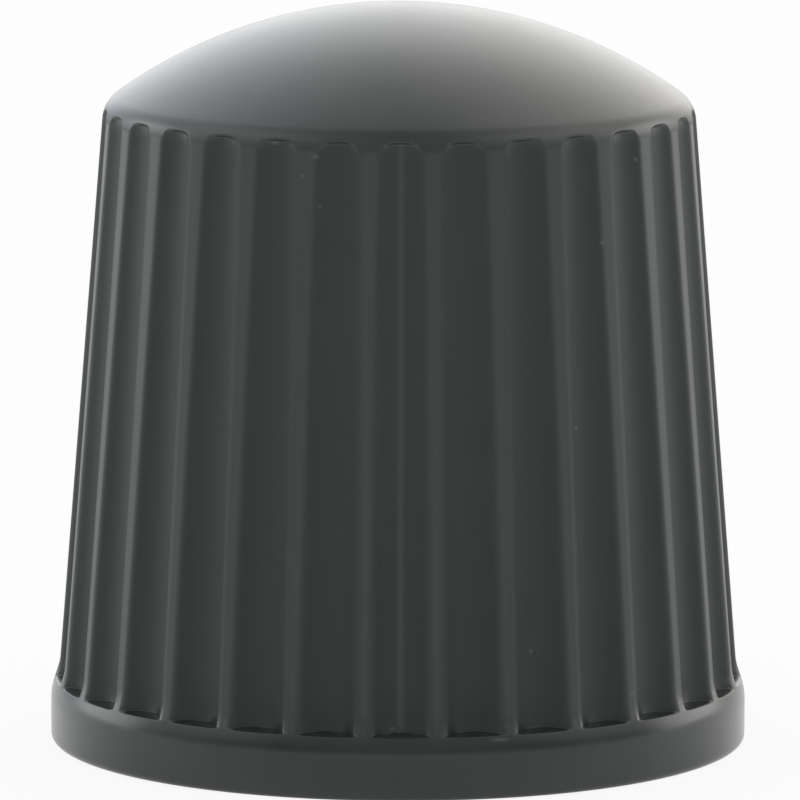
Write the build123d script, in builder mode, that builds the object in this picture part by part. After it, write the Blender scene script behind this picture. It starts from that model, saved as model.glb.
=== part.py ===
from build123d import *
from math import atan2, degrees, hypot, radians, tan
import os

# Outside: a domed cap that stands on its open rim, widest at the collar, with its axis along Z.
cap_height = 11.7
collar_diameter = 11.0
rib_foot_diameter = 10.72  # over the ribs, where they leave the collar
shoulder_diameter = 9.3  # over the ribs, where they run into the dome
dome_rise = 1.58
shoulder_round = 0.5

# Collar: a plain band round the mouth, sloped at the top, where the ribs grow out of it.
collar_face_height = 0.8
collar_slope_height = 0.42
rim_round = 0.12
collar_round = 0.9  # takes the corner off between the collar's face and its slope

# Grip: round-bottomed flutes between ribs, deeper and so wider towards the collar.
flute_count = 30
flute_radius = 0.4
flute_foot_rise = 0.23  # from the collar's face up to the flat ledge that ends a flute
flute_foot_depth = 0.24
flute_top_depth = 0.1  # at the shoulder
flute_top_drop = 0.07  # from the shoulder down to the flat top end of a flute
front_angle = -90.0  # one flute faces the front, along -Y

# Inside: a lead-in, the bore for the valve thread, a cone that seals on the stem's end, a closed pocket.
thread_root_diameter = 7.8
lead_in = 0.4
seal_angle = 30.0  # of the sealing cone, from level
pocket_diameter = 6.0
pocket_height = 1.7
pocket_round = 0.45
crown_thickness = 2.1

collar_radius = collar_diameter / 2
rib_foot_radius = rib_foot_diameter / 2
shoulder_radius = shoulder_diameter / 2
bore_radius = thread_root_diameter / 2
pocket_radius = pocket_diameter / 2

rib_foot_level = collar_face_height + collar_slope_height
shoulder_level = cap_height - dome_rise
flute_foot_level = collar_face_height + flute_foot_rise
flute_top_level = shoulder_level - flute_top_drop
pocket_level = cap_height - crown_thickness
seal_level = pocket_level - pocket_height
thread_end_level = seal_level - (bore_radius - pocket_radius) * tan(radians(seal_angle))


def rib_radius(level):
    """Radius over the ribs at a height above the rim."""
    share = (level - rib_foot_level) / (shoulder_level - rib_foot_level)
    return rib_foot_radius + (shoulder_radius - rib_foot_radius) * share


def flute_axis(level):
    """Distance from the cap's axis to the middle of a flute's round section."""
    share = (level - flute_foot_level) / (shoulder_level - flute_foot_level)
    depth = flute_foot_depth + (flute_top_depth - flute_foot_depth) * share
    return rib_radius(level) - depth + flute_radius


# One flute as a slim pin that leans with the ribs, cut level at its foot and under the dome.
pin_base_level = flute_foot_level - flute_foot_depth
pin_run = flute_axis(pin_base_level) - flute_axis(cap_height)
pin_rise = cap_height - pin_base_level
pin_lean = degrees(atan2(pin_run, pin_rise))

with BuildPart() as flute:
    with Locations(Location((flute_axis(pin_base_level), 0, pin_base_level), (0, -pin_lean, 0))):
        Cylinder(flute_radius, hypot(pin_run, pin_rise), align=(Align.CENTER, Align.CENTER, Align.MIN))
    split(bisect_by=Plane.XY.offset(flute_foot_level), keep=Keep.TOP)
    split(bisect_by=Plane.XY.offset(flute_top_level), keep=Keep.BOTTOM)

# The cap: half its section is drawn once and turned about the axis, then the flutes are cut.
with BuildPart() as valve_cap:
    with BuildSketch(Plane.XZ) as section:
        with BuildLine():
            Polyline(
                (0, pocket_level),
                (pocket_radius, pocket_level),
                (pocket_radius, seal_level),
                (bore_radius, thread_end_level),
                (bore_radius, lead_in),
                (bore_radius + lead_in, 0),
                (collar_radius, 0),
                (collar_radius, collar_face_height),
                (rib_foot_radius, rib_foot_level),
                (shoulder_radius, shoulder_level),
            )
            TangentArc((0, cap_height), (shoulder_radius, shoulder_level), tangent=(1, 0))
            Line((0, cap_height), (0, pocket_level))
        make_face()
        for corner, corner_round in (
            ((shoulder_radius, shoulder_level), shoulder_round),
            ((collar_radius, 0), rim_round),
            ((collar_radius, collar_face_height), collar_round),
            ((pocket_radius, pocket_level), pocket_round),
        ):
            fillet(section.vertices().sort_by_distance(corner)[0], corner_round)
    revolve(axis=Axis.Z)
    with PolarLocations(0, flute_count, start_angle=front_angle):
        add(flute.part, mode=Mode.SUBTRACT)

valve_cap.part.label = "valve_cap"

os.makedirs("parts", exist_ok=True)
export_step(valve_cap.part, "parts/valve_cap.step")
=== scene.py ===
import math

import bpy
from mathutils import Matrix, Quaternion, Vector


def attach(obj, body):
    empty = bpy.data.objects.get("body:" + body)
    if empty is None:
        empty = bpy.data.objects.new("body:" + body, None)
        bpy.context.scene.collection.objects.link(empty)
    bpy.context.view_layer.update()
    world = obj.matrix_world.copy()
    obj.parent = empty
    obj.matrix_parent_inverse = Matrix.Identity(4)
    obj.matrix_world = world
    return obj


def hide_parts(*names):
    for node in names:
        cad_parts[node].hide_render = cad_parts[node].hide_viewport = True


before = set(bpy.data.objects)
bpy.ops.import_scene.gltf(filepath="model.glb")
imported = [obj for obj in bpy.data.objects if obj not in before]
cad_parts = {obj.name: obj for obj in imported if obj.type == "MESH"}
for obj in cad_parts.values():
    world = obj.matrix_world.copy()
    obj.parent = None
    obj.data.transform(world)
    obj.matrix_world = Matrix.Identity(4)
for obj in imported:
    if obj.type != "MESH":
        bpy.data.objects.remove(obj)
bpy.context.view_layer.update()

# The cap: one injection moulding in black plastic, a dome on a tapered grip with a plain collar at the mouth.
# The mould's cavity gives it thirty flutes, and the core that unscrews leaves the bore, cone and pocket.
# It stands on its rim, and the mould's halves leave a fine line in the front and the back flute.
MM = 0.001
CAP_HEIGHT = 11.7
COLLAR_RADIUS = 5.5
COLLAR_FACE_LEVEL = 0.8
COLLAR_ROUND = 0.9
RIM_ROUND = 0.12
RIB_FOOT = (5.36, 1.22)
RIB_FOOT_ROUND = 0.8
SHOULDER = (4.65, 10.12)
SHOULDER_ROUND = 0.5
BORE_RADIUS = 3.9
LEAD_IN = 0.4
THREAD_END_LEVEL = 7.38
POCKET_RADIUS = 3.0
POCKET_FOOT_LEVEL = 7.9
POCKET_LEVEL = 9.6
POCKET_ROUND = 0.45
INNER_ROUND = 0.05
FLUTE_COUNT = 30
FLUTE_COLUMNS = 24
HOLLOW_END = 5 / 12  # the share of half a flute's columns that lies in the hollow
LAND_START = 9 / 12  # the share after which the rib's rounded edge gives way to its plain land
FLUTE_RADIUS = 0.5
RIB_EDGE_ROUND = 0.17
FLUTE_FOOT_LEVEL = 1.0
FLUTE_FOOT_DEPTH = 0.24
FLUTE_TOP_LEVEL = 10.05
FLUTE_TOP_DEPTH = 0.11
LEDGE_ROUND = 0.02
LEDGE_GUARD = 0.03
FLUTE_ARCH = 0.14
ARCH_ROUND = 0.03
ARCH_ROW_GAP = 0.015
EDGE_GUARD = 0.05
DOME_STEPS = 18
DOME_EASE = 1.25
WELD_GAP = 0.0001
SEAM_HEIGHT = 0.016
SEAM_WIDTH = 0.08
FRONT = -math.pi / 2


def spread(start, end, count):
    """Points that share out a straight run of the section, without its two ends."""
    return [start.lerp(end, (step + 1) / (count + 1)) for step in range(count)]


def arc_point(centre, radius, angle):
    return centre + Vector((math.cos(angle), math.sin(angle))) * radius


def bend(centre, radius, start, end, steps):
    """Points along an arc of the section, from one angle to another, both ends included."""
    return [arc_point(centre, radius, start + (end - start) * step / steps) for step in range(steps + 1)]


def angle_of(line):
    return math.atan2(line.y, line.x)


def corner_round(before, corner, after, radius, steps):
    """Points of the small round that takes a sharp corner off the section."""
    back = (before - corner).normalized()
    ahead = (after - corner).normalized()
    half = back.angle(ahead) / 2
    centre = corner + (back + ahead).normalized() * (radius / math.sin(half))
    reach = radius / math.tan(half)
    first = angle_of(corner + back * reach - centre)
    last = angle_of(corner + ahead * reach - centre)
    turn = (last - first + math.pi) % (2 * math.pi) - math.pi
    return bend(centre, radius, first, first + turn, steps)


def guarded(start, end, count):
    """A run's points, with one close to each end, so that the shading of a round stays on the round."""
    along = (end - start).normalized() * EDGE_GUARD
    return [start + along, *spread(start + along, end - along, count), end - along]


# Each corner of the section from the pocket to the ribs: its place, its round, the steps of that round, and
# how many points the straight run after it has.
section_corners = [
    (Vector((0, POCKET_LEVEL)), None, None, 2),
    (Vector((POCKET_RADIUS, POCKET_LEVEL)), POCKET_ROUND, 6, 0),
    (Vector((POCKET_RADIUS, POCKET_FOOT_LEVEL)), INNER_ROUND, 3, 0),
    (Vector((BORE_RADIUS, THREAD_END_LEVEL)), INNER_ROUND, 3, 1),
    (Vector((BORE_RADIUS, LEAD_IN)), INNER_ROUND, 3, 0),
    (Vector((BORE_RADIUS + LEAD_IN, 0)), INNER_ROUND, 3, 0),
    (Vector((COLLAR_RADIUS, 0)), RIM_ROUND, 5, 1),
    (Vector((COLLAR_RADIUS, COLLAR_FACE_LEVEL)), COLLAR_ROUND, 5, None),
    (Vector(RIB_FOOT), None, None, None),
]
section = [section_corners[0][0]]
for before, here, after in zip(section_corners, section_corners[1:], section_corners[2:]):
    corner, rounding, steps, _ = here
    arc = corner_round(before[0], corner, after[0], rounding, steps)
    section += guarded(section[-1], arc[0], before[3])
    fluted_from = len(section)
    section += arc

rib_foot = Vector(RIB_FOOT)
shoulder = Vector(SHOULDER)
slope_start = section[-1]


def rib_radius(level):
    """Radius over the ribs at a height above the rim."""
    share = (level - rib_foot.y) / (shoulder.y - rib_foot.y)
    return rib_foot.x + (shoulder.x - rib_foot.x) * share


# The collar's slope, with close rows where the ledge at the foot of each flute cuts in.
plain_slope = [slope_start, *corner_round(slope_start, rib_foot, shoulder, RIB_FOOT_ROUND, 8)]
for rise in [-LEDGE_GUARD, *[LEDGE_ROUND * step / 4 for step in range(-4, 5)], LEDGE_GUARD]:
    level = FLUTE_FOOT_LEVEL + rise
    upper = next(row for row, point in enumerate(plain_slope) if point.y > level)
    start, end = plain_slope[upper - 1], plain_slope[upper]
    plain_slope.insert(upper, start.lerp(end, (level - start.y) / (end.y - start.y)))
section += plain_slope[1:]

# The shoulder's round touches the straight line of the ribs and the dome's arc.
dome_rise = CAP_HEIGHT - shoulder.y
dome_radius = (shoulder.x ** 2 + dome_rise ** 2) / (2 * dome_rise)
dome_centre = Vector((0, CAP_HEIGHT - dome_radius))
rib_line = (rib_foot - shoulder).normalized()
rib_normal = Vector((-rib_line.y, rib_line.x))
inset = shoulder - rib_normal * SHOULDER_ROUND - dome_centre
down = inset.dot(rib_line)
slide = -down - math.sqrt(down ** 2 - inset.length_squared + (dome_radius - SHOULDER_ROUND) ** 2)
round_centre = dome_centre + inset + rib_line * slide
round_start = round_centre + rib_normal * SHOULDER_ROUND
round_end = angle_of(round_centre - dome_centre)

# Close rows where the flutes' arched tops end, partly on the ribs and partly on the shoulder's round.
arch_levels = [FLUTE_TOP_LEVEL + step * ARCH_ROW_GAP for step in range(-13, 4)]
section += spread(section[-1], Vector((rib_radius(arch_levels[0]), arch_levels[0])), 14)
for level in arch_levels:
    lean = math.asin((max(level, round_start.y) - round_centre.y) / SHOULDER_ROUND)
    on_round = bend(round_centre, SHOULDER_ROUND, lean, round_end, 6)
    section.append(on_round[0] if level > round_start.y else Vector((rib_radius(level), level)))
section += on_round[1:]
for step in range(1, DOME_STEPS + 1):
    ease = (step / DOME_STEPS) ** DOME_EASE
    section.append(arc_point(dome_centre, dome_radius, round_end + (math.pi / 2 - round_end) * ease))
section[-1] = Vector((0, CAP_HEIGHT))

section_mesh = bpy.data.meshes.new("cap_section")
section_mesh.from_pydata(
    [(point.x * MM, 0, point.y * MM) for point in section],
    [(row, row + 1) for row in range(len(section) - 1)],
    [],
)
skin = section_mesh.attributes.new("skin", "FLOAT", "POINT")
skin.data.foreach_set("value", [float(row >= fluted_from) for row in range(len(section))])


class Wire:
    """A socket in a node tree. Arithmetic on it adds the Math nodes that work the sum out."""

    def __init__(self, tree, socket=None):
        self.tree = tree
        self.socket = socket

    def make(self, kind, settings=None, inputs=None, output=0):
        """Adds a node of any type: its settings first, then the values or links of its sockets."""
        node = self.tree.nodes.new(kind)
        for name, setting in (settings or {}).items():
            if name == "stops":
                stops = node.color_ramp.elements
                for position, colour in setting[1:-1]:
                    stops.new(position).color = (*colour, 1)
                for stop, (position, colour) in ((stops[0], setting[0]), (stops[-1], setting[-1])):
                    stop.position = position
                    stop.color = (*colour, 1)
            else:
                setattr(node, name, setting)
        for key, given in (inputs or {}).items():
            if isinstance(given, Wire):
                self.tree.links.new(given.socket, node.inputs[key])
            else:
                node.inputs[key].default_value = given
        return Wire(self.tree, node.outputs[output] if len(node.outputs) else None)

    def maths(self, operation, *given):
        return self.make("ShaderNodeMath", {"operation": operation}, dict(enumerate((self, *given))))

    def __add__(self, other):
        return self.maths("ADD", other)

    __radd__ = __add__

    def __sub__(self, other):
        return self.maths("SUBTRACT", other)

    def __rsub__(self, other):
        return self.make("ShaderNodeMath", {"operation": "SUBTRACT"}, {0: other, 1: self})

    def __mul__(self, other):
        return self.maths("MULTIPLY", other)

    __rmul__ = __mul__

    def __truediv__(self, other):
        return self.maths("DIVIDE", other)

    def __rtruediv__(self, other):
        return self.make("ShaderNodeMath", {"operation": "DIVIDE"}, {0: other, 1: self})

    def step(self, low, high):
        """0 below low, 1 above high, and a smooth rise between them."""
        return self.make(
            "ShaderNodeMapRange",
            {"interpolation_type": "SMOOTHSTEP"},
            {0: self, 1: low, 2: high, 3: 0.0, 4: 1.0},
        )

    def axis(self, number):
        """One number of a vector: 0 for x, 1 for y, 2 for z."""
        return self.make("ShaderNodeSeparateXYZ", None, {0: self}, number)

    def blend(self, share, other, kind="MIX"):
        """This colour mixed with another by a share."""
        return self.make(
            "ShaderNodeMix", {"data_type": "RGBA", "blend_type": kind}, {0: share, 6: self, 7: other}, 2
        )


def new_tree(name, sizes):
    """A Geometry Nodes tree with named inputs: the tree, its inputs as wires, and its last node."""
    tree = bpy.data.node_groups.new(name, "GeometryNodeTree")
    tree.interface.new_socket("Geometry", in_out="INPUT", socket_type="NodeSocketGeometry")
    for size, given in sizes.items():
        kind = {int: "NodeSocketInt", float: "NodeSocketFloat"}.get(type(given), "NodeSocketMaterial")
        tree.interface.new_socket(size, in_out="INPUT", socket_type=kind)
    tree.interface.new_socket("Geometry", in_out="OUTPUT", socket_type="NodeSocketGeometry")
    start = tree.nodes.new("NodeGroupInput")
    wires = {socket.name: Wire(tree, socket) for socket in start.outputs if socket.name}
    return tree, wires, tree.nodes.new("NodeGroupOutput")


def shaped(name, start_mesh, tree, sizes):
    """The object that a tree makes from a mesh, with the tree's result as its own plain mesh."""
    piece = bpy.data.objects.new(name, start_mesh)
    bpy.context.scene.collection.objects.link(piece)
    modifier = piece.modifiers.new(tree.name, "NODES")
    modifier.node_group = tree
    for item in tree.interface.items_tree:
        if item.in_out == "INPUT" and item.name in sizes:
            modifier[item.identifier] = sizes[item.name]
    graph = bpy.context.evaluated_depsgraph_get()
    made = bpy.data.meshes.new_from_object(piece.evaluated_get(graph))
    made.name = name
    piece.modifiers.remove(modifier)
    piece.data = made
    return piece


DARK_PLASTIC = (0.0225, 0.0300, 0.0270)
MID_PLASTIC = (0.0260, 0.0335, 0.0305)
PALE_PLASTIC = (0.0300, 0.0365, 0.0345)
RIB_LAND_HIGHLIGHT = (0.046, 0.055, 0.052, 1)
DUST_AND_GLINT_COLOUR = (0.11, 0.116, 0.116, 1)
GRIP_START = (0.95, 1.25)
GRIP_END = (9.8, 10.2)
GLOSSY_ROUGHNESS = 0.16
MOTTLE_ROUGHNESS = 0.12
FLUTE_ROUGHNESS = 0.42
LAND_POLISH = 0.3
DOME_COAT = 0.3
GRAIN_HEIGHT = 0.004
black_plastic = bpy.data.materials.new("black_plastic")
black_plastic.use_nodes = True
black_plastic.node_tree.nodes.clear()
paint = Wire(black_plastic.node_tree)
place = paint.make("ShaderNodeTexCoord", output=3)
mottle = paint.make(
    "ShaderNodeTexNoise", None, {"Vector": place, "Scale": 900.0, "Detail": 3.0, "Roughness": 0.6}
)
grain = paint.make(
    "ShaderNodeTexNoise", None, {"Vector": place, "Scale": 9000.0, "Detail": 2.0, "Roughness": 0.5}
)
shade = paint.make(
    "ShaderNodeValToRGB",
    {"stops": [(0.3, DARK_PLASTIC), (0.5, MID_PLASTIC), (0.7, PALE_PLASTIC)]},
    {"Fac": mottle},
)
crest = paint.make("ShaderNodeAttribute", {"attribute_name": "crest"}, output=2)
# Painted highlight: the rib lands and the parting line's ridge are painted paler, for the light that their
# crests catch.
shade = shade.blend(crest * 0.8, RIB_LAND_HIGHLIGHT)

# Pale dust specks, a burr's painted glint and a painted highlight on the collar's top edge, as seen from the
# front: how far across and up, their reach and stretch.
DUST_AND_GLINT_SPOTS = [
    (-1.93, 10.0, 0.05, 2.0),
    (-1.31, 9.83, 0.05, 2.0),
    (-1.51, 9.53, 0.05, 1.0),
    (-1.24, 9.06, 0.04, 1.0),
    (3.10, 8.40, 0.05, 1.0),
    (3.63, 9.60, 0.05, 1.0),
    (2.70, 5.58, 0.05, 1.0),
    (2.01, 2.20, 0.05, 1.0),
    (3.59, 1.42, 0.05, 1.0),
    (-0.12, 1.08, 0.05, 1.5),
    # painted glint on a small burr at the collar's top edge
    (1.53, 0.93, 0.04, 5.0),
    # painted highlight on the collar's top edge at the right
    (5.25, 1.14, 0.16, 0.8),
]
dust_and_glints = None
for across_front, up, reach, stretch in DUST_AND_GLINT_SPOTS:
    flat_place = paint.make(
        "ShaderNodeVectorMath", {"operation": "MULTIPLY"}, {0: place, 1: (1 / stretch, 0, 1)}
    )
    gap = paint.make(
        "ShaderNodeVectorMath",
        {"operation": "DISTANCE"},
        {0: flat_place, 1: (across_front / stretch * MM, 0, up * MM)},
        1,
    )
    mark = 1 - gap.step(0.1 * reach * MM, reach * MM)
    dust_and_glints = mark if dust_and_glints is None else dust_and_glints + mark
at_front = 1 - place.axis(1).step(-1 * MM, 0.0)
# The pale spots are dust, plus the burr's painted glint and the painted highlight on the collar's edge.
shade = shade.blend(0.7 * dust_and_glints * at_front, DUST_AND_GLINT_COLOUR)
height = place.axis(2)
on_dome = height.step(*(level * MM for level in GRIP_END))
on_grip = height.step(*(level * MM for level in GRIP_START)) - on_dome
flute_roughness = on_grip * (FLUTE_ROUGHNESS - LAND_POLISH * crest)
relief = paint.make(
    "ShaderNodeBump", None, {"Strength": 0.25, "Distance": GRAIN_HEIGHT * MM, "Height": grain}
)
plastic = paint.make(
    "ShaderNodeBsdfPrincipled",
    None,
    {
        "Base Color": shade,
        "Roughness": GLOSSY_ROUGHNESS + MOTTLE_ROUGHNESS * mottle + flute_roughness,
        "IOR": 1.57,
        "Coat Weight": DOME_COAT * on_dome,
        "Coat Roughness": 0.14,
        "Coat IOR": 1.5,
        "Normal": relief,
    },
)
paint.make("ShaderNodeOutputMaterial", None, {"Surface": plastic})


flute_sizes = {
    "Flutes": FLUTE_COUNT,
    "Columns": FLUTE_COLUMNS,
    "Hollow End": HOLLOW_END,
    "Land Start": LAND_START,
    "Flute Radius": FLUTE_RADIUS * MM,
    "Rib Edge Round": RIB_EDGE_ROUND * MM,
    "Foot Level": FLUTE_FOOT_LEVEL * MM,
    "Foot Rib": rib_radius(FLUTE_FOOT_LEVEL) * MM,
    "Foot Depth": FLUTE_FOOT_DEPTH * MM,
    "Shoulder Level": shoulder.y * MM,
    "Shoulder Rib": shoulder.x * MM,
    "Shoulder Depth": FLUTE_TOP_DEPTH * MM,
    "Top Level": FLUTE_TOP_LEVEL * MM,
    "Ledge Round": LEDGE_ROUND * MM,
    "Arch": FLUTE_ARCH * MM,
    "Arch Round": ARCH_ROUND * MM,
    "Seam Height": SEAM_HEIGHT * MM,
    "Seam Width": SEAM_WIDTH * MM,
    "Material": black_plastic,
}
flute_tree, size, finished = new_tree("turned_and_fluted", flute_sizes)
turned = size["Geometry"]
rows = turned.make("GeometryNodeAttributeDomainSize", {"component": "MESH"}, {"Geometry": turned})
blank = turned.make(
    "GeometryNodeMeshGrid",
    None,
    {"Vertices X": size["Flutes"] * size["Columns"] + 1, "Vertices Y": rows},
)
index = turned.make("GeometryNodeInputIndex")
column = ((index + 0.5) / rows).maths("FLOOR")
row = index - column * rows
point = turned.make(
    "GeometryNodeSampleIndex",
    {"data_type": "FLOAT_VECTOR"},
    {"Geometry": turned, "Value": turned.make("GeometryNodeInputPosition"), "Index": row},
)
skin_mark = turned.make("GeometryNodeInputNamedAttribute", None, {"Name": "skin"})
on_skin = turned.make(
    "GeometryNodeSampleIndex",
    {"data_type": "FLOAT"},
    {"Geometry": turned, "Value": skin_mark, "Index": row},
)
radius = point.axis(0)
level = point.axis(2)

# Which flute a column is in, and how far it lies from the flute's middle (0) towards the rib's middle (1).
pitch = 2 * math.pi / size["Flutes"]
flute_number = (column / size["Columns"] + 0.5).maths("FLOOR")
place_in_flute = column / size["Columns"] - flute_number
side = place_in_flute.maths("ABSOLUTE") * 2

# How deep the flute is here, and its section: a round hollow, the rib's rounded edge and its plain land.
risen_above_foot = (level - size["Foot Level"]).maths("MAXIMUM", 0.0)
along = risen_above_foot / (size["Shoulder Level"] - size["Foot Level"]) * on_skin
capped = along.maths("MINIMUM", 1.0)
depth = size["Foot Depth"] + (size["Shoulder Depth"] - size["Foot Depth"]) * capped
rib_here = size["Foot Rib"] + (size["Shoulder Rib"] - size["Foot Rib"]) * capped
half_width = rib_here * pitch / 2
both_rounds = size["Flute Radius"] + size["Rib Edge Round"]
steepest = (1 - depth / both_rounds).maths("ARCCOSINE")
past_hollow = ((side - size["Hollow End"]) / (size["Land Start"] - size["Hollow End"])).maths("MAXIMUM", 0.0)
past_edge = ((side - size["Land Start"]) / (1 - size["Land Start"])).maths("MAXIMUM", 0.0)
hollow = steepest * (side / size["Hollow End"]).maths("MINIMUM", 1.0)
edge = steepest * (1 - past_hollow).maths("MAXIMUM", 0.0)
land = (half_width - both_rounds * steepest.maths("SINE")) * past_edge
edge_width = size["Rib Edge Round"] * (steepest.maths("SINE") - edge.maths("SINE"))
edge_rise = size["Rib Edge Round"] * (edge.maths("COSINE") - steepest.maths("COSINE"))
across = size["Flute Radius"] * hollow.maths("SINE") + edge_width + land
risen = (size["Flute Radius"] * (1 - hollow.maths("COSINE")) + edge_rise) / depth
turn = across / rib_here * place_in_flute.maths("SIGN")

# The flute is sunk into the turned form between the ledge at its foot and its arched top.
foot_floor = size["Foot Rib"] - size["Foot Depth"]
shoulder_floor = size["Shoulder Rib"] - size["Shoulder Depth"]
sunk = (radius - foot_floor - (shoulder_floor - foot_floor) * along).maths("MAXIMUM", 0.0)
ledge_below = size["Foot Level"] - size["Ledge Round"]
ledge_above = size["Foot Level"] + size["Ledge Round"]
above_ledge = level.step(ledge_below, ledge_above) * on_skin
arch_top = size["Top Level"] - size["Arch"] * risen * risen
below_top = 1 - level.step(arch_top - size["Arch Round"], arch_top + size["Arch Round"])
in_grip = above_ledge * below_top
fluted = radius - sunk * (1 - risen) * in_grip

# The mould's parting line: a fine ridge up the middle of the front flute and of the one opposite.
half_turn = flute_number / (size["Flutes"] / 2)
on_split = 1 - (half_turn - half_turn.maths("ROUND")).maths("ABSOLUTE").step(0.01, 0.02)
split_ridge = 1 - across.step(0.0, size["Seam Width"])
seamed = fluted + size["Seam Height"] * split_ridge * on_split * in_grip
angle = flute_number * pitch + turn + FRONT
around = turned.make(
    "ShaderNodeCombineXYZ",
    None,
    {0: seamed * angle.maths("COSINE"), 1: seamed * angle.maths("SINE"), 2: level},
)
moved = turned.make("GeometryNodeSetPosition", None, {"Geometry": blank, "Position": around})
# The rib lands and the parting line's ridge are stored as crest; the material paints them paler as a painted
# highlight and makes them glossier.
marked = turned.make(
    "GeometryNodeStoreNamedAttribute",
    {"data_type": "FLOAT", "domain": "POINT"},
    {"Geometry": moved, "Name": "crest", "Value": (side.step(0.55, 0.9) + split_ridge * on_split) * in_grip},
)
closed = turned.make("GeometryNodeMergeByDistance", None, {"Geometry": marked, "Distance": WELD_GAP * MM})
smooth = turned.make("GeometryNodeSetShadeSmooth", None, {"Geometry": closed})
whole = turned.make("GeometryNodeRealizeInstances", None, {"Geometry": smooth})
coloured = turned.make("GeometryNodeSetMaterial", None, {"Geometry": whole, "Material": size["Material"]})
flute_tree.links.new(coloured.socket, finished.inputs[0])
cap = shaped("valve_cap_moulding", section_mesh, flute_tree, flute_sizes)
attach(cap, "root")
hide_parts("valve_cap")

# The valve thread: one right-handed ridge that winds up the bore, part of the same moulding as the cap.
# The mould's core forms it and unscrews to let the cap go. Its pitch is that of a car tyre valve, 32 turns to
# the inch, and it fades in and out at its two ends.
THREAD_PITCH = 0.794
THREAD_TURNS = 7.8
THREAD_START_LEVEL = 0.78
THREAD_STEPS = 72
THREAD_RUN_OUT = 0.25
ROOT_SINK = 0.02
ROOT_HALF = 0.34
FLANK_DEPTH = 0.39
FLANK_HALF = 0.105
CREST_DEPTH = 0.42
CREST_HALF = 0.07
lower_half = [(ROOT_SINK, -ROOT_HALF), (-FLANK_DEPTH, -FLANK_HALF), (-CREST_DEPTH, -CREST_HALF)]
upper_half = [(out, -up) for out, up in reversed(lower_half)]
thread_ridge = [*lower_half, *upper_half, lower_half[0]]
ridge_mesh = bpy.data.meshes.new("thread_section")
ridge_mesh.from_pydata(
    [(out * MM, 0, up * MM) for out, up in thread_ridge],
    [(row, row + 1) for row in range(len(thread_ridge) - 1)],
    [],
)
thread_sizes = {
    "Turns": THREAD_TURNS,
    "Steps": THREAD_STEPS,
    "Pitch": THREAD_PITCH * MM,
    "Start Level": THREAD_START_LEVEL * MM,
    "Bore Radius": BORE_RADIUS * MM,
    "Run Out": THREAD_RUN_OUT,
    "Material": black_plastic,
}
thread_tree, size, finished = new_tree("wound_ridge", thread_sizes)
ridge = size["Geometry"]
rows = ridge.make("GeometryNodeAttributeDomainSize", {"component": "MESH"}, {"Geometry": ridge})
columns = (size["Turns"] * size["Steps"]).maths("CEIL") + 1
blank = ridge.make("GeometryNodeMeshGrid", None, {"Vertices X": columns, "Vertices Y": rows})
index = ridge.make("GeometryNodeInputIndex")
column = ((index + 0.5) / rows).maths("FLOOR")
point = ridge.make(
    "GeometryNodeSampleIndex",
    {"data_type": "FLOAT_VECTOR"},
    {"Geometry": ridge, "Value": ridge.make("GeometryNodeInputPosition"), "Index": index - column * rows},
)
wound = column / (columns - 1) * size["Turns"]
swell = wound.step(0.0, size["Run Out"]) * (size["Turns"] - wound).step(0.0, size["Run Out"])
reach = size["Bore Radius"] + point.axis(0) * swell
angle = wound * (2 * math.pi)
level = size["Start Level"] + size["Pitch"] * wound + point.axis(2) * swell
around = ridge.make(
    "ShaderNodeCombineXYZ",
    None,
    {0: reach * angle.maths("COSINE"), 1: reach * angle.maths("SINE"), 2: level},
)
moved = ridge.make("GeometryNodeSetPosition", None, {"Geometry": blank, "Position": around})
closed = ridge.make("GeometryNodeMergeByDistance", None, {"Geometry": moved, "Distance": WELD_GAP * MM})
outward = ridge.make("GeometryNodeFlipFaces", None, {"Mesh": closed})
whole = ridge.make("GeometryNodeRealizeInstances", None, {"Geometry": outward})
coloured = ridge.make("GeometryNodeSetMaterial", None, {"Geometry": whole, "Material": size["Material"]})
thread_tree.links.new(coloured.socket, finished.inputs[0])
thread = shaped("valve_thread_ridge", ridge_mesh, thread_tree, thread_sizes)
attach(thread, "root")

# The floor: a plain matt white sheet that the cap stands on, which keeps the cap's soft shadow.
# In the cap's gloss it fades towards the camera, and from below it is clear, so that the bore can be seen.
FLOOR_HALF = 1.0
FLOOR_LEVEL = -0.01 * MM
floor_corners = [(-1, -1), (1, -1), (1, 1), (-1, 1)]
floor_mesh = bpy.data.meshes.new("floor")
floor_mesh.from_pydata(
    [(x * FLOOR_HALF, y * FLOOR_HALF, FLOOR_LEVEL) for x, y in floor_corners], [], [(0, 1, 2, 3)]
)
floor = bpy.data.objects.new("floor", floor_mesh)
bpy.context.scene.collection.objects.link(floor)
floor_white = bpy.data.materials.new("floor_white")
floor_white.use_nodes = True
floor_white.cycles.emission_sampling = "NONE"
floor_white.node_tree.nodes.clear()
paint = Wire(floor_white.node_tree)
camera_ray = paint.make("ShaderNodeLightPath", output=0)
glossy_ray = Wire(floor_white.node_tree, camera_ray.socket.node.outputs["Is Glossy Ray"])
clear_ray = Wire(floor_white.node_tree, camera_ray.socket.node.outputs["Is Transmission Ray"])
matt = paint.make("ShaderNodeBsdfDiffuse", None, {"Color": (0.9, 0.9, 0.9, 1)})
white = paint.make("ShaderNodeEmission", None, {"Color": (1, 1, 1, 1), "Strength": 1.0})
towards_back = paint.make("ShaderNodeTexCoord", output=3).axis(1)
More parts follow.
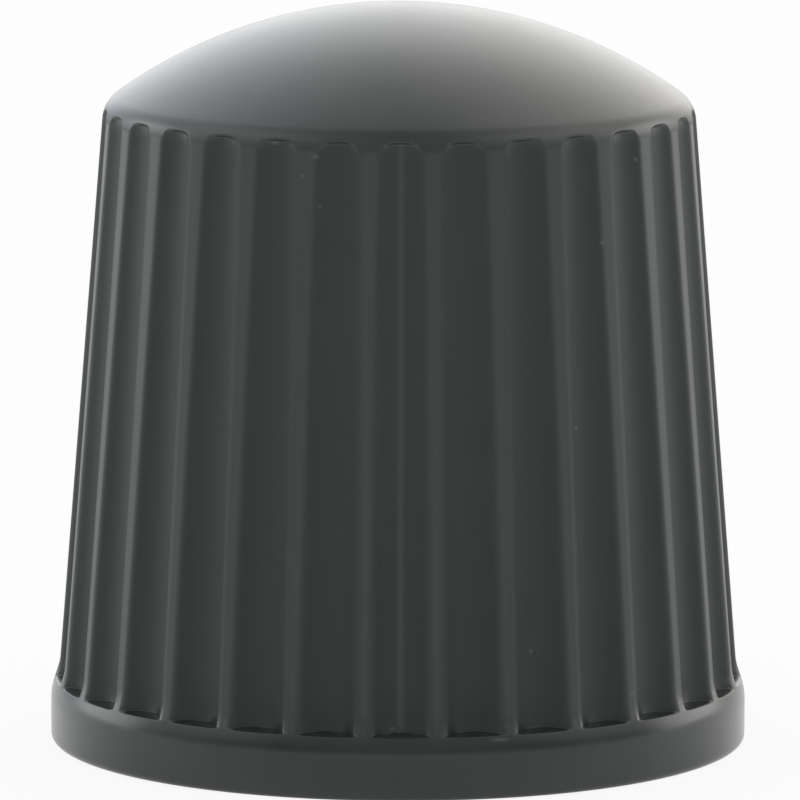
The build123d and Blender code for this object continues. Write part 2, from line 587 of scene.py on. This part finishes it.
# Painted shade: in the cap's gloss, the floor's glow drops in front of the cap, where its shadow falls, and
# is almost gone further towards the camera.
glow_in_front = 0.55 * towards_back.step(-8.4 * MM, -5.0 * MM)
glow_beside = 0.4 * towards_back.step(-5.0 * MM, 1.0 * MM)
glow = 0.03 + glow_in_front + glow_beside
seen = (0.9 * (camera_ray + clear_ray) + glow * glossy_ray).maths("MINIMUM", 1.0)
from_above = paint.make("ShaderNodeMixShader", None, {0: seen, 1: matt, 2: white})
from_below = paint.make("ShaderNodeBsdfTransparent")
underside = paint.make("ShaderNodeNewGeometry", output=6)
both_faces = paint.make("ShaderNodeMixShader", None, {0: underside, 1: from_above, 2: from_below})
paint.make("ShaderNodeOutputMaterial", None, {"Surface": both_faces})
floor_mesh.materials.append(floor_white)

# The light: a broad white light behind the cap and a little above it, in a dim room with a pale ceiling.
# A soft light stands low at each side and another high, with a faint fill from the front. The light behind is
# a little cool on the left and warm on the right.
LIGHT_RISE = math.radians(23)
LIGHT_STRENGTH = 1.6
LIGHT_AIM = (0.05, math.cos(LIGHT_RISE), math.sin(LIGHT_RISE))
LOW_SIDE_AIM = (0.897, 0.418, 0.139)
HIGH_SIDE_AIM = (0.83, -0.2, 0.52)
FRONT_AIM = (0, -0.94, 0.34)
LOW_SIDE_LIGHT = 2.25
HIGH_SIDE_LIGHT = 0.42
FRONT_LIGHT = 0.1
CEILING_LIGHT = 0.16
CEILING_SIDES = 0.7
LIGHT_FALL = [
    (0.0, 0.10),
    (0.55, 0.10),
    (0.62, 0.13),
    (0.67, 0.15),
    (0.75, 0.24),
    (0.82, 0.34),
    (0.883, 0.47),
    (0.933, 0.64),
    (0.97, 0.86),
    (0.992, 0.99),
    (1.0, 1.0),
]
world = bpy.data.worlds.new("studio")
bpy.context.scene.world = world
world.use_nodes = True
world.node_tree.nodes.clear()
paint = Wire(world.node_tree)
direction = paint.make("ShaderNodeTexCoord", output=0)
sideways = direction.axis(0)
either_side = sideways.maths("ABSOLUTE")
upwards = direction.axis(2)
mirrored = paint.make("ShaderNodeCombineXYZ", None, {0: either_side, 1: direction.axis(1), 2: upwards})


def towards(way, aim):
    """How closely a direction points at a light, 1 at its middle."""
    return paint.make("ShaderNodeVectorMath", {"operation": "DOT_PRODUCT"}, {0: way, 1: aim}, 1)


brightness = paint.make(
    "ShaderNodeValToRGB",
    {"stops": [(nearness, (value, value, value)) for nearness, value in LIGHT_FALL]},
    {"Fac": towards(direction, LIGHT_AIM) * 0.5 + 0.5},
)
tint = paint.make(
    "ShaderNodeValToRGB",
    {"stops": [(0.2, (0.90, 0.98, 1.08)), (0.5, (1, 1, 1)), (0.8, (1.05, 1.0, 0.93))]},
    {"Fac": sideways * 0.5 + 0.5},
)
ceiling = upwards.step(0.0, 0.8) * (CEILING_LIGHT + CEILING_SIDES * either_side)
low_sides = LOW_SIDE_LIGHT * towards(mirrored, LOW_SIDE_AIM).step(0.9, 1.0)
high_sides = HIGH_SIDE_LIGHT * towards(mirrored, HIGH_SIDE_AIM).step(0.8, 1.0)
front_fill = FRONT_LIGHT * towards(mirrored, FRONT_AIM).step(0.7, 1.0)
fill = (ceiling + low_sides + high_sides + front_fill) / LIGHT_STRENGTH
studio = brightness.blend(1.0, tint, "MULTIPLY").blend(1.0, fill, "ADD")
lamp = paint.make("ShaderNodeBackground", None, {"Color": studio, "Strength": LIGHT_STRENGTH})
paint.make("ShaderNodeOutputWorld", None, {"Surface": lamp})

# The camera: close to the cap with a long lens, a little above it, as in the photograph.
# Its scale is how many pixels a millimetre takes up at the cap's axis.
CAMERA_DISTANCE = 150 * MM
CAMERA_RISE = math.radians(8.59)
CAMERA_AZIMUTH = math.radians(-0.4)
CAMERA_ROLL = math.radians(0.126)
CAMERA_AIM = Vector((0.022, 0, 5.401)) * MM
IMAGE_PIXELS = 800
PIXELS_PER_MM = 63.3
camera_data = bpy.data.cameras.new("camera")
camera = bpy.data.objects.new("camera", camera_data)
bpy.context.scene.collection.objects.link(camera)
bpy.context.scene.camera = camera
away = Vector(
    (
        math.sin(CAMERA_AZIMUTH) * math.cos(CAMERA_RISE),
        -math.cos(CAMERA_AZIMUTH) * math.cos(CAMERA_RISE),
        math.sin(CAMERA_RISE),
    )
)
camera.location = CAMERA_AIM + away * CAMERA_DISTANCE
camera.rotation_mode = "QUATERNION"
camera.rotation_quaternion = (-away).to_track_quat("-Z", "Y") @ Quaternion((0, 0, 1), CAMERA_ROLL)
camera_data.sensor_width = 36
camera_data.lens = camera_data.sensor_width * CAMERA_DISTANCE * PIXELS_PER_MM / (IMAGE_PIXELS * MM)
camera_data.clip_start = 0.01
camera_data.clip_end = 10

bpy.context.scene.view_settings.view_transform = "Standard"
